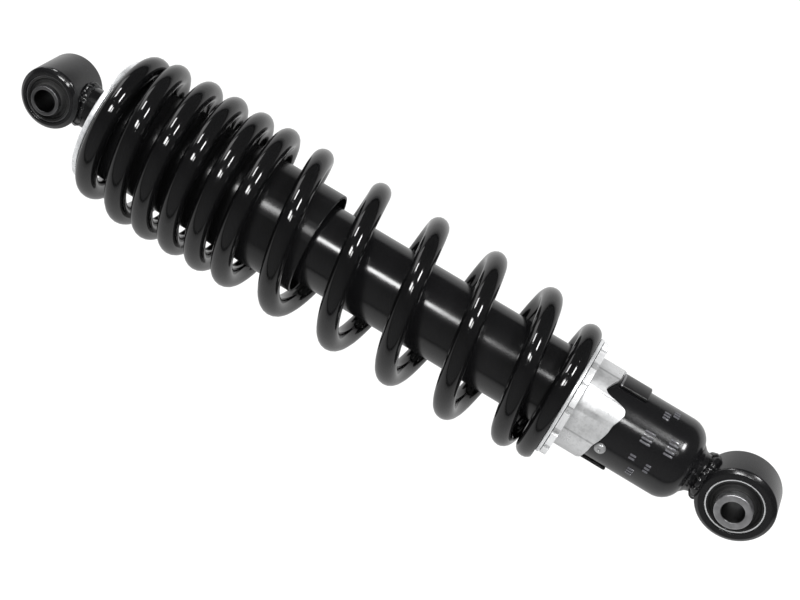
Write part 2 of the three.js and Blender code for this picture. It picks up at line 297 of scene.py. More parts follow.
def powder_coat(name, colour):
    """Baked coating on the spring wire: deep gloss over a soft ripple, with tiny pits."""
    finish = Finish(name)
    ripple = finish.noise(240, detail=2)
    sag = finish.noise(95, detail=2)
    pits = finish.spread(finish.specks(520), 0.02, 0.1, 0, 1)
    finish.colour(finish.between(finish.noise(60), colour, scaled(colour, 1.8)))
    finish.roughness(finish.noise(45, detail=4), 0.05, 0.1)
    finish.relief(sag, 0.07 * MM)
    finish.relief(ripple, 0.03 * MM)
    finish.relief(pits, 0.02 * MM)
    return finish.material


def moulded_plastic(name, colour):
    """Satin plastic with a fine grain and faint marks along the draw of the mould."""
    finish = Finish(name).set(Specular_IOR_Level=0.3)
    draw_marks = finish.noise(1, detail=3, vector=finish.mapped(scale=(700, 700, 25)))
    finish.colour(finish.between(finish.noise(30), colour, scaled(colour, 1.7)))
    finish.roughness(draw_marks, 0.15, 0.27)
    finish.relief(finish.noise(2600, detail=1), 0.008 * MM)
    finish.relief(draw_marks, 0.012 * MM)
    return finish.material


def bright_zinc(name, colour, streaks, dark_bands=(), rim_highlight_beyond=None):
    """Bright plating: cloudy patches, and fine streaks at the given scale along each axis.

    The given bands darken the plating at angles round Z, as (angle round Z, half width, strength),
    and beyond a distance from Z, where one is given, a painted highlight brightens the rim, leaving the slot
    floors in painted shade.
    """
    finish = Finish(name).set(Metallic=0.65)
    clouds = finish.noise(85, detail=5, roughness=0.62)
    lines = finish.noise(1, detail=4, vector=finish.mapped(scale=streaks))
    stain = finish.spread(finish.noise(26, detail=3), 0.5, 0.72, 0, 1)
    spangle = finish.spread(finish.noise(620, detail=3, roughness=0.7), 0.45, 0.7, 0, 0.8)
    plated = finish.between(clouds, scaled(colour, 0.6), scaled(colour, 1.3))
    plated = finish.between(stain, plated, scaled(colour, 0.66))
    plated = finish.between(spangle, plated, scaled(colour, 0.72))
    patchy = finish.spread(finish.noise(120), 0.35, 0.6, 0.3, 1)
    # Each given band darkens the plating over its width round Z, ragged at its edges.
    for degrees, half_width, strength in dark_bands:
        off = finish.maths("ABSOLUTE", finish.angle_from(degrees), 0)
        ragged = finish.maths("MULTIPLY", lines, half_width)
        off = finish.maths("ADD", off, ragged)
        band = finish.spread(off, half_width, 1.8 * half_width, strength, 0)
        band = finish.maths("MULTIPLY", band, patchy)
        plated = finish.between(band, plated, scaled(colour, 0.12))
    if rim_highlight_beyond:
        # Painted highlight on the flange's rim beyond the given radius; the spanner slots' floors, nearer
        # the axis, stay darker as painted shade.
        radius = finish.distance_from_axis(2)
        flange = finish.spread(radius, rim_highlight_beyond, rim_highlight_beyond + 0.5 * MM, 0, 0.75)
        plated = finish.between(flange, plated, scaled(colour, 1.5))
    finish.colour(plated)
    finish.roughness(clouds, 0.2, 0.44, pattern_ends=(0.3, 0.72))
    finish.relief(lines, 0.03 * MM)
    finish.relief(clouds, 0.06 * MM)
    return finish.material


def turned_metal(name, colour, axis, centre, bore=0):
    """Lathe-turned metal: fine rings round an axis, a few stains, and painted shade darkening the bore."""
    finish = Finish(name).set(Metallic=1.0)
    radius = finish.distance_from_axis(axis, centre)
    rings = finish.noise(1, detail=2, vector=finish.maths("MULTIPLY", radius, 5200))
    clouds = finish.noise(260, detail=4)
    face = finish.between(clouds, scaled(colour, 0.6), scaled(colour, 1.3))
    # Painted shade: the bore and the end face just round it are darkened, as light does not reach into the
    # hole.
    outside = finish.spread(radius, bore + 0.1 * MM, bore + 0.5 * MM, 0, 1)
    finish.colour(finish.between(outside, scaled(colour, 0.12), face))
    finish.roughness(clouds, 0.3, 0.48)
    finish.relief(rings, 0.02 * MM)
    return finish.material


def moulded_rubber(name, colour=(0.006, 0.006, 0.006)):
    """Moulded rubber: dull, slightly grainy, greyer where it has bloomed."""
    finish = Finish(name).set(Specular_IOR_Level=0.25)
    bloom = finish.spread(finish.noise(70, detail=4), 0.42, 0.75, 0, 1)
    finish.colour(finish.between(bloom, colour, scaled(colour, 3.2)))
    finish.roughness(finish.noise(300), 0.52, 0.76)
    finish.relief(finish.noise(1500, detail=2), 0.03 * MM)
    return finish.material


def polished_chrome(name):
    """Hard chrome on the rod, with a trace of the grinding left in it."""
    finish = Finish(name).set(Metallic=1.0, Base_Color=(0.86, 0.87, 0.89))
    grind = finish.noise(1, detail=2, vector=finish.mapped(scale=(60, 60, 6000)))
    finish.roughness(grind, 0.05, 0.12)
    finish.relief(grind, 0.004 * MM)
    return finish.material


def worn_enamel(name, enamel, steel, top, reach):
    """Enamel rubbed through to bright steel near a top edge, where the cam bears on it."""
    finish = Finish(name)
    separate = finish.node("ShaderNodeSeparateXYZ")
    finish.link(finish.coordinates, separate.inputs["Vector"])
    ragged = finish.maths("MULTIPLY", finish.noise(420, detail=4), reach * 1.6)
    depth = finish.maths("SUBTRACT", top, separate.outputs["Z"])
    worn = finish.spread(finish.maths("SUBTRACT", depth, ragged), -0.1 * reach, 0.1 * reach, 1, 0)
    finish.colour(finish.between(worn, enamel, steel))
    finish.link(worn, finish.shader.inputs["Metallic"])
    finish.roughness(finish.noise(60), 0.3, 0.46)
    finish.relief(finish.noise(330, detail=2), 0.05 * MM)
    return finish.material


def plain_floor(name, colour):
    """Seamless paper: the faintest mottle, fully matt."""
    finish = Finish(name).set(Specular_IOR_Level=0.1)
    finish.colour(finish.between(finish.noise(3), scaled(colour, 0.985), colour))
    finish.roughness(finish.noise(9), 0.85, 1, pattern_ends=(0, 1))
    return finish.material


# ------------------------------------------------------------------ shaping


def as_piece(name, bm, material, sharp_degrees=38):
    """Turns a bmesh into a smooth-shaded object at the origin."""
    mesh = bpy.data.meshes.new(name)
    bm.to_mesh(mesh)
    bm.free()
    mesh.shade_smooth()
    mesh.set_sharp_from_angle(angle=math.radians(sharp_degrees))
    mesh.materials.append(material)
    piece = bpy.data.objects.new(name, mesh)
    bpy.context.collection.objects.link(piece)
    return piece


def fit(piece, body, slot, *nodes):
    """Fixes a piece to a body, in place of some frame nodes."""
    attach(piece, body)
    if nodes:
        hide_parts(*nodes)


CORNER_STEPS = 4


def rounded(profile, closed):
    """Replaces corners given as (radius, z, rounding) by short arcs. Plain points stay."""
    points = []
    count = len(profile)
    for i, corner in enumerate(profile):
        here = Vector(corner[:2])
        size = corner[2] if len(corner) > 2 else 0
        if size == 0 or (not closed and i in (0, count - 1)):
            points.append(here)
            continue
        to_previous = (Vector(profile[i - 1][:2]) - here).normalized()
        to_next = (Vector(profile[(i + 1) % count][:2]) - here).normalized()
        start, end = here + to_previous * size, here + to_next * size
        for step in range(CORNER_STEPS + 1):
            t = step / CORNER_STEPS
            points.append(start * (1 - t) ** 2 + here * 2 * t * (1 - t) + end * t * t)
    return points


def ring_profile(inner, outer, low, high, inner_edge, outer_edge=None):
    """Profile of a plain ring with rounded edges, which may differ inside and outside."""
    outer_edge = outer_edge or inner_edge
    return [
        (inner, low, inner_edge), (outer, low, outer_edge),
        (outer, high, outer_edge), (inner, high, inner_edge),
    ]


def profile_wire(bm, points, closed):
    verts = [bm.verts.new((point.x, 0, point.y)) for point in points]
    pairs = list(zip(verts, verts[1:]))
    if closed:
        pairs.append((verts[-1], verts[0]))
    return verts, [bm.edges.new(pair) for pair in pairs]


def spin_round_z(bm, geom, angle, steps, merge):
    bmesh.ops.spin(
        bm, geom=geom, axis=(0, 0, 1), cent=(0, 0, 0), angle=angle, steps=steps, use_merge=merge
    )


def face_outward(bm):
    bmesh.ops.recalc_face_normals(bm, faces=bm.faces[:])


def spun(bm, profile, steps, closed=True):
    """Spins a profile of (radius, z[, rounding]) points about Z into a closed shell."""
    verts, edges = profile_wire(bm, rounded(profile, closed), closed)
    spin_round_z(bm, verts + edges, 2 * math.pi, steps, merge=True)
    bmesh.ops.remove_doubles(bm, verts=bm.verts[:], dist=1e-6)
    face_outward(bm)


def turned(name, profile, material, place=AROUND_Z, closed=True, steps=None):
    """A turned piece. The profile is closed on itself, or runs from axis to axis."""
    bm = bmesh.new()
    spun(bm, profile, steps or bpy.context.scene.strut_sizes.turning_steps, closed)
    bmesh.ops.transform(bm, matrix=place, verts=bm.verts[:])
    return as_piece(name, bm, material)


def across(height):
    """Places a piece turned about Z so that its axis is Y at a height."""
    return Matrix.Translation((0, 0, height)) @ AROUND_Y


def swept(bm, frames, radius, sides, marks=None):
    """Draws a ring of wire along a row of frames whose Z is the way forward.

    marks, where given, are values for the rings, kept on the vertices as the layer "turn".
    """
    layer = bm.verts.layers.float.new("turn") if marks else None
    ring = bmesh.ops.create_circle(
        bm, cap_ends=False, segments=sides, radius=radius, matrix=frames[0]
    )["verts"]
    edges = list({edge for vert in ring for edge in vert.link_edges})
    if layer:
        for vert in ring:
            vert[layer] = marks[0]
    for i, (before, after) in enumerate(zip(frames, frames[1:]), start=1):
        grown = bmesh.ops.extrude_edge_only(bm, edges=edges)["geom"]
        ring = [item for item in grown if isinstance(item, bmesh.types.BMVert)]
        fresh = set(ring)
        edges = [
            item
            for item in grown
            if isinstance(item, bmesh.types.BMEdge) and fresh.issuperset(item.verts)
        ]
        bmesh.ops.transform(bm, matrix=after @ before.inverted(), verts=ring)
        if layer:
            for vert in ring:
                vert[layer] = marks[i]


def cap_ends(bm):
    open_edges = [edge for edge in bm.edges if edge.is_boundary]
    bmesh.ops.holes_fill(bm, edges=open_edges, sides=0)
    face_outward(bm)


def path_frame(point, tangent, outward, size=1.0):
    """Frame at a point of a path: Z along the tangent, X as near outward as can be."""
    z = tangent.normalized()
    y = z.cross(outward).normalized()
    x = y.cross(z)
    turn = Matrix((x, y, z)).transposed().to_4x4()
    return Matrix.Translation(point) @ turn @ Matrix.Scale(size, 4)


def level_lines(stations, x):
    """Value at x on the straight lines between (x, value) stations."""
    return float(np.interp(x, [s[0] for s in stations], [s[1] for s in stations]))


# ------------------------------------------------------------------ spring


SPRING_LOW, SPRING_HIGH = span("coil_spring", 2)
FIRST_TURN = -0.25
LAST_TURN = 11.8
JOIN_TURN = 1.75  # where the two lengths of wire meet, behind the body
COIL_PHASE = math.radians(-146.9)
START_HEIGHT = 91.5 * MM
# Pitch in mm per turn at a few turns along the wire.
PITCH = [
    (-0.25, 0), (0.35, 1.5), (0.75, 24), (1.6, 29), (2, 30), (5.3, 31.3),
    (6.1, 14.5), (9.9, 13.8), (10.2, 20.5), (10.7, 20.5), (11.15, 3), (11.8, 0.4),
]
# Inset of the wire's centre from the full coil radius, in mm, at a few turns.
INSET = [(0, 4.8), (0.3, 6.2), (0.55, 6.4), (1, 3.4), (1.5, 1.2), (2.1, 0), (10.3, 0), (11, 2.9)]
MIN_PITCH = 10.6  # mm per turn that the wire needs when its turns almost touch
EASE_TURNS = 0.5  # past the join, the wire starts to close over this many turns
END_RING = 0.003  # turns between each end of a length and a ring that keeps its shading true


def wire_heights():
    """Turns along the wire at close steps, and the height of its centre at each."""
    turns = np.linspace(FIRST_TURN, LAST_TURN, 4001)
    pitch = np.interp(turns, [s[0] for s in PITCH], [s[1] for s in PITCH]) * MM
    rise = (pitch[1:] + pitch[:-1]) / 2 * np.diff(turns)
    return turns, START_HEIGHT + np.concatenate([[0], np.cumsum(rise)])


def wire_point(turn, sizes, heights):
    angle = COIL_PHASE + 2 * math.pi * turn
    radius = sizes.coil_radius - level_lines(INSET, turn) * MM
    height = float(np.interp(turn, *heights))
    return Vector((radius * math.cos(angle), radius * math.sin(angle), height))


def wire_frames(turns, sizes):
    heights = wire_heights()
    near = 0.002
    frames = []
    for turn in turns:
        point = wire_point(turn, sizes, heights)
        tangent = wire_point(turn + near, sizes, heights) - wire_point(turn - near, sizes, heights)
        frames.append(path_frame(point, tangent, Vector((point.x, point.y, 0))))
    return frames


def wire_length(name, first, last, sizes, material):
    """One length of the spring's wire, ground flat where it meets the seat or the plate."""
    steps = round((last - first) * sizes.steps_per_turn)
    turns = list(np.linspace(first, last, steps + 1))
    turns = [turns[0], turns[0] + END_RING, *turns[1:-1], turns[-1] - END_RING, turns[-1]]
    bm = bmesh.new()
    swept(bm, wire_frames(turns, sizes), sizes.wire_diameter / 2, sizes.wire_sides, marks=turns)
    for height, up in ((SPRING_LOW, -1), (SPRING_HIGH, 1)):
        bmesh.ops.bisect_plane(
            bm,
            geom=bm.verts[:] + bm.edges[:] + bm.faces[:],
            plane_co=(0, 0, height),
            plane_no=(0, 0, up),
            clear_outer=True,
        )
    cap_ends(bm)
    return as_piece(name, bm, material)


def give(piece, body_a, body_b, share_at_turn):
    """Lets each ring of wire follow body_a by 1 - share and body_b by share."""
    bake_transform(piece, body_a, body_b, start=(0, 0, SPRING_LOW), end=(0, 0, SPRING_HIGH))
    mesh = piece.data
    turns = np.zeros(len(mesh.vertices), np.float32)
    mesh.attributes["turn"].data.foreach_get("value", turns)
    shares = np.array([share_at_turn(turn) for turn in turns], np.float32)
    mesh.attributes["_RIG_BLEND"].data.foreach_set("value", shares)


def closing_share():
    """Share of the rod's travel that the wire has taken up at each turn."""
    turns = np.linspace(JOIN_TURN, LAST_TURN, 2000)
    pitch = np.interp(turns, [s[0] for s in PITCH], [s[1] for s in PITCH])
    spare = np.clip(pitch - MIN_PITCH, 0, None)
    spare *= np.clip((turns - JOIN_TURN) / EASE_TURNS, 0, 1)
    taken = np.cumsum(spare)
    return turns, taken / taken[-1]


class STRUT_OT_spring(bpy.types.Operator):
    """Winds the coil spring in two lengths that meet end to end"""

    bl_idname = "strut.spring"
    bl_label = "Coil Spring"

    def execute(self, context):
        sizes = context.scene.strut_sizes
        coating = powder_coat("spring_powder_coat", context.scene.strut_colours.powder_coat)
        lower = wire_length("spring_lower_turns", FIRST_TURN, JOIN_TURN, sizes, coating)
        upper = wire_length("spring_upper_turns", JOIN_TURN, LAST_TURN, sizes, coating)
        lift_share = [(0.3, 0), (1, 0.2), (JOIN_TURN, 1)]
        give(lower, "seat", "damper_body", lambda turn: level_lines(lift_share, turn))
        turns, shares = closing_share()
        give(upper, "damper_body", "rod_assembly", lambda turn: np.interp(turn, turns, shares))
        for piece in (lower, upper):
            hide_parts("coil_spring")
        return {"FINISHED"}


# ------------------------------------------------------------------ damper body


BODY_R = radius_of("damper_tube")
BODY_LOW, BODY_HIGH = span("damper_tube", 2)
BODY_WALL = 1.8 * MM
DOME_R = 10.5 * MM
DOME_STEPS = 12
FLOOR_THICKNESS = 4 * MM
LUG_LOW, LUG_HIGH = span("cam_lug_front", 2)
LUG_R = 21.3 * MM
LUG_CENTRES = {"cam_lug_front": 8, "cam_lug_rear": 188}
LUG_HALF_ANGLE = 21
PIN_ANGLES = {"cam_pin_front": -101.7, "cam_pin_rear": 78.3}
PIN_R = 2.7 * MM


def body_profile():
    """Outer wall from the middle of the domed end up to the crimped mouth, and back inside."""
    dome = []
    for step in range(DOME_STEPS + 1):
        angle = math.radians(90 * step / DOME_STEPS)
        radius = BODY_R - DOME_R + DOME_R * math.sin(angle)
        dome.append((radius, BODY_LOW + DOME_R * (1 - math.cos(angle))))
    bore = BODY_R - BODY_WALL
    floor = BODY_LOW + FLOOR_THICKNESS
    return [
        (0, BODY_LOW), *dome, (BODY_R, BODY_HIGH - 6 * MM),
        (BODY_R - 0.7 * MM, BODY_HIGH, 0.7 * MM), (bore, BODY_HIGH, 0.3 * MM),
        (bore, floor + 6 * MM), (bore - 6 * MM, floor), (0, floor),
    ]


def curved_block(bm, inner, outer, low, high, centre, half_angle, steps):
    """A block between two radii and two heights, curved round Z."""
    corners = [(inner, low), (outer, low), (outer, high), (inner, high)]
    start = Matrix.Rotation(math.radians(centre - half_angle), 4, "Z")
    verts = [bm.verts.new(start @ Vector((r, 0, z))) for r, z in corners]
    face = bm.faces.new(verts)
    geom = [face, *face.edges, *face.verts]
    spin_round_z(bm, geom, math.radians(2 * half_angle), steps, merge=False)
    face_outward(bm)


def soften(bm, size, segments):
    """Rounds every edge sharper than 50 degrees."""
    limit = math.radians(50)
    edges = [edge for edge in bm.edges if edge.calc_face_angle(0) > limit]
    shape = {"offset_type": "OFFSET", "profile": 0.5, "affect": "EDGES", "clamp_overlap": True}
    bmesh.ops.bevel(bm, geom=edges, offset=size, segments=segments, material=-1, **shape)


# Groups of short raised bars on the lower body: angle, height, count, and length of each bar.
TALLIES = [
    (-56, 48.6, 4, 5.2), (-52, 37.4, 5, 4.6), (-88, 50, 2, 3), (-111, 47.6, 3, 3.4),
    (-92, 42, 3, 2.6), (-15, 46, 3, 3.2), (-3, 42, 3, 3),
]
TALLY_SPACING = 5  # degrees between the bars of a group
TALLY_HALF_ANGLE = 1.5


def stamped_tallies(material):
    """All the groups of bars, as one piece."""
    inner, outer = BODY_R - 0.2 * MM, BODY_R + 0.45 * MM
    bm = bmesh.new()
    for angle, height, count, length in TALLIES:
        for i in range(count):
            bar = bmesh.new()
            low = (height - length / 2) * MM
            centre = angle + TALLY_SPACING * (i - (count - 1) / 2)
            curved_block(bar, inner, outer, low, low + length * MM, centre, TALLY_HALF_ANGLE, 3)
            soften(bar, 0.3 * MM, 2)
            mesh = bpy.data.meshes.new("bar")
            bar.to_mesh(mesh)
            bar.free()
            bm.from_mesh(mesh)
            bpy.data.meshes.remove(mesh)
    return as_piece("stamped_tallies", bm, material)


class STRUT_OT_body(bpy.types.Operator):
    """Turns the damper body and adds the lugs and pins that carry the cam"""

    bl_idname = "strut.body"
    bl_label = "Damper Body"

    def execute(self, context):
        colours = context.scene.strut_colours
        enamel = gloss_enamel("body_enamel", colours.enamel)
        shell = turned("damper_shell", body_profile(), enamel, closed=False, steps=160)
        fit(shell, "damper_body", "black_paint", "damper_tube")
        # The bars' enamel is twenty times lighter: partly pale residue in the stamped marks, partly a
        # painted highlight on them.
        tallies = stamped_tallies(gloss_enamel("tally_residue_and_highlight", scaled(colours.enamel, 20)))
        fit(tallies, "damper_body", "black_paint")
        worn = worn_enamel(
            "lug_enamel", colours.enamel, scaled(colours.steel, 0.6), LUG_HIGH, 1.2 * MM
        )
        for node, centre in LUG_CENTRES.items():
            bm = bmesh.new()
            curved_block(
                bm, BODY_R + 0.05 * MM, LUG_R, LUG_LOW, LUG_HIGH, centre, LUG_HALF_ANGLE, 14
            )
            soften(bm, 1.4 * MM, 4)
            lug = as_piece(node.replace("cam_", "stop_"), bm, worn)
            fit(lug, "damper_body", "black_paint", node)
        pin_zinc = bright_zinc("pin_zinc", scaled(colours.collar_zinc, 0.6), (900, 900, 900))
        root = BODY_R - 1 * MM
        profile = [
            (0, root), (PIN_R, root), (PIN_R, LUG_R - 0.7 * MM, 0.6 * MM),
            (1.8 * MM, LUG_R, 0.4 * MM), (0.9 * MM, LUG_R, 0.2 * MM),
            (0.6 * MM, LUG_R - 0.6 * MM), (0, LUG_R - 0.7 * MM),  # a dimple in the head
        ]
        for node, angle in PIN_ANGLES.items():
            place = (
                Matrix.Rotation(math.radians(angle), 4, "Z")
                @ Matrix.Translation((0, 0, height_of(node)))
                @ Matrix.Rotation(math.radians(90), 4, "Y")
            )
            pin = turned(
                node.replace("cam_", "stop_"), profile, pin_zinc, place, closed=False, steps=48
            )
            fit(pin, "damper_body", "bright_zinc", node)
        return {"FINISHED"}


# ------------------------------------------------------------------ preload collar


SEAT_LOW, SEAT_HIGH = span("spring_seat", 2)
SEAT_R = radius_of("spring_seat")
FLANGE_R = radius_of("preload_collar")
COLLAR_TOP = span("preload_collar", 2)[1]
COLLAR_R = 22.2 * MM
COLLAR_BORE_R = 20 * MM
FLANGE_THICKNESS = 3 * MM
SLOT_DEPTH = 0.9 * MM
SLOT_HALF_SHARE = 0.14  # half of a slot's width, as a share of the slots' spacing
CAM_PERIOD = 180  # degrees; the cam repeats after half a turn
CAM_WALL = -38  # angle of the tall step that ends each cam
# Height of the cam edge, in mm, at a few angles past the tall step.
CAM_EDGE = [
    (0, 68.4), (2, 73), (7, 75), (17, 73.6), (30, 71.4), (66, 71.2), (84, 69.2), (108, 67.9),
    (118, 67.6), (130, 65.9), (143, 64.6), (153, 64.4), (162, 62.9), (169, 62.1), (175, 62.8),
    (178.5, 65), (180, 68.4),
]


def cam_height(degrees):
    """Height of the cam edge at an angle, smoothed over a few degrees."""
    total = 0
    offsets = (-1.5, -0.5, 0.5, 1.5)
    for offset in offsets:
        past = (degrees + offset - CAM_WALL) % CAM_PERIOD
        total += level_lines(CAM_EDGE, past)
    return total / len(offsets) * MM


def in_slot(degrees, slots):
    """Whether an angle lies inside a spanner slot of the flange."""
    pitch = 360 / slots
    from_middle = abs((degrees + pitch / 2) % pitch - pitch / 2)
    return from_middle < SLOT_HALF_SHARE * pitch


class STRUT_OT_collar(bpy.types.Operator):
    """Makes the seat washer and the preload collar with its cam edge and spanner slots"""

    bl_idname = "strut.collar"
    bl_label = "Preload Collar"

    def execute(self, context):
        colours = context.scene.strut_colours
        washer_zinc = bright_zinc("washer_zinc", colours.zinc, (120, 120, 4000))
        edge = 0.35 * MM
        profile = ring_profile(COLLAR_BORE_R, SEAT_R, SEAT_LOW, SEAT_HIGH, edge)
        washer = turned("seat_washer", profile, washer_zinc)
        fit(washer, "seat", "bright_zinc", "spring_seat")

        # Bands darkened at set angles round the collar, repeated half a turn on.
        dark_bands = [(-9, 1.6, 0.5), (-21, 9, 0.28), (-66, 4, 0.4), (-97, 1.3, 0.6)]
        dark_bands += [(angle + 180, width, strength) for angle, width, strength in dark_bands]
        # The flange's rim beyond FLANGE_R - 0.7 mm gets a painted highlight, which leaves the slot floors in
        # painted shade.
        sleeve_zinc = bright_zinc(
            "collar_zinc", colours.collar_zinc, (900, 900, 35), dark_bands, FLANGE_R - 0.7 * MM
        )
        flange_low = COLLAR_TOP - FLANGE_THICKNESS
        edge_mark = 50 * MM  # the profile's lower end, moved to the cam edge below
        profile = [
            (COLLAR_BORE_R, edge_mark, edge), (COLLAR_R, edge_mark, edge),
            (COLLAR_R, flange_low, 0.8 * MM), (FLANGE_R, flange_low, 0.3 * MM),
            (FLANGE_R, COLLAR_TOP, 0.3 * MM), (COLLAR_BORE_R, COLLAR_TOP, 0.3 * MM),
        ]
        bm = bmesh.new()
        spun(bm, profile, 360)
        slots = context.scene.strut_sizes.spanner_slots
        slot_floor = FLANGE_R - SLOT_DEPTH
        for vert in bm.verts:
            degrees = math.degrees(math.atan2(vert.co.y, vert.co.x))
            radius = math.hypot(vert.co.x, vert.co.y)
            if vert.co.z < edge_mark + MM:
                vert.co.z += cam_height(degrees) - edge_mark
            elif radius > slot_floor and in_slot(degrees, slots):
                shrink = (slot_floor - (FLANGE_R - radius)) / radius
                vert.co.x *= shrink
                vert.co.y *= shrink
        collar = as_piece("cam_collar", bm, sleeve_zinc, 30)
        fit(collar, "collar", "bright_zinc", "preload_collar")
        return {"FINISHED"}


# ------------------------------------------------------------------ eyes, bushes and necks


class Eye:
    """The bodies that one eye's pieces ride on, and its sizes, read from its frame nodes."""

    def __init__(self, end, body, bush_body, neck_side):
        self.end = end
        self.body = body
        self.bush_body = bush_body
        self.neck_side = neck_side  # 1 where the neck leaves upwards, -1 where it leaves downwards
        self.height = height_of(f"{end}_eye")
        self.outer = radius_of(f"{end}_eye")
        self.half_width = span(f"{end}_eye", 1)[1]
        self.ring = radius_of(f"{end}_bush_ring")
        self.ring_half = span(f"{end}_bush_ring", 1)[1]
        self.sleeve = radius_of(f"{end}_sleeve")
        self.sleeve_half = span(f"{end}_sleeve", 1)[1]


EYES = (
    Eye("lower", "damper_body", "lower_bush", 1),
    Eye("upper", "rod_assembly", "upper_bush", -1),
)
CHAMFER_FACE = 2 * MM  # chamfer of an eye's rim, measured across its face
CHAMFER_SIDE = 1.8 * MM  # and along its side
LOWER_NECK_R = 9.7 * MM
UPPER_NECK_R = 10 * MM
WELD_RIPPLES = 15
RIPPLE_STEPS = 12  # rings of faces along each ripple of a weld
WELD_SIDES = 14


def eye_pieces(eye, enamel, ring_metal, ring_slot, sleeve_metal, sleeve_slot, rubber, bore):
    """Tube, bush ring, rubber and sleeve of one eye."""
    place = across(eye.height)
    half = eye.half_width
    inner = eye.ring + 0.05 * MM
    rim = eye.outer - CHAMFER_FACE
    shoulder = half - CHAMFER_SIDE
    profile = [
        (inner, -half, 0.5 * MM), (rim, -half, 0.5 * MM), (eye.outer, -shoulder, 0.6 * MM),
        (eye.outer, shoulder, 0.6 * MM), (rim, half, 0.5 * MM), (inner, half, 0.5 * MM),
    ]
    tube = turned(f"{eye.end}_eye_tube", profile, enamel, place)
    fit(tube, eye.body, "black_paint", f"{eye.end}_eye")

    wall = 0.7 * MM
    ring_half = eye.ring_half
    profile = ring_profile(eye.ring - wall, eye.ring, -ring_half, ring_half, 0.25 * MM)
    ring = turned(f"{eye.end}_bush_shell", profile, ring_metal, place)
    fit(ring, eye.body, ring_slot, f"{eye.end}_bush_ring")

    low_r = eye.sleeve + 0.08 * MM
    high_r = eye.ring - wall - 0.05 * MM
    gap = high_r - low_r
    end = half - 0.4 * MM
    face = [
        (low_r, end + 0.9 * MM),
        (low_r + 0.18 * gap, end + 0.5 * MM, 0.06 * gap),
        (low_r + 0.34 * gap, end - 1.3 * MM, 0.12 * gap),
        (low_r + 0.62 * gap, end - 1.5 * MM, 0.12 * gap),
        (low_r + 0.8 * gap, end - 0.1 * MM, 0.08 * gap),
        (high_r, end - 0.2 * MM),
    ]
    mirrored = [(corner[0], -corner[1], *corner[2:]) for corner in reversed(face)]
    core = turned(f"{eye.end}_bush_core", face + mirrored, rubber, place)
    fit(core, eye.body, "rubber", f"{eye.end}_bush_rubber")

    end = eye.sleeve_half
    profile = ring_profile(bore, eye.sleeve, -end, end, 0.7 * MM, 0.5 * MM)
    sleeve = turned(f"{eye.end}_bolt_sleeve", profile, sleeve_metal, place)
    fit(sleeve, eye.bush_body, sleeve_slot, f"{eye.end}_sleeve")


def weld_bead(eye, radius, thickness, seed, material):
    """A rippled bead laid where a round neck of a given radius meets the eye's tube."""
    steps = RIPPLE_STEPS * WELD_RIPPLES
    random = np.random.default_rng(seed)
    ripple_sizes = 0.85 + 0.4 * random.random(WELD_RIPPLES)
    surface = eye.outer + 0.35 * thickness

    def point(share):
        angle = 2 * math.pi * share
        x = radius * math.cos(angle)
        rise = math.sqrt(surface * surface - x * x)
        return Vector((x, radius * math.sin(angle), eye.height + eye.neck_side * rise))

    frames = []
    for step in range(steps + 1):
        share = (step % steps) / steps
        tangent = point(share + 0.001) - point(share - 0.001)
        here = point(share)
        ripple = share * WELD_RIPPLES
        size = ripple_sizes[int(ripple)] * (0.82 + 0.3 * (ripple % 1) ** 0.6)
        frames.append(path_frame(here, tangent, Vector((here.x, here.y, 0)), size))
    bm = bmesh.new()
    swept(bm, frames, thickness, WELD_SIDES)
    bmesh.ops.remove_doubles(bm, verts=bm.verts[:], dist=1e-5)
    bmesh.ops.smooth_vert(
        bm, verts=bm.verts[:], factor=0.35, use_axis_x=True, use_axis_y=True, use_axis_z=True
    )
    face_outward(bm)
    bm.normal_update()
    for vert in bm.verts:
        lump = noise.noise(vert.co * 420 + Vector((seed, 0, 0)))
        vert.co += vert.normal * lump * 0.3 * thickness
    return as_piece(f"{eye.end}_weld_bead", bm, material, 60)


def neck_and_weld(eye, profile, enamel, weld_radius, weld_thickness, seed, weld_enamel):
    """The stub that leaves an eye, and the bead of weld that joins the two."""
    stub = turned(f"{eye.end}_neck_stub", profile, enamel, closed=False, steps=72)
    fit(stub, eye.body, "black_paint", f"{eye.end}_neck")
    weld = weld_bead(eye, weld_radius, weld_thickness, seed, weld_enamel)
    fit(weld, eye.body, "black_paint", f"{eye.end}_weld")


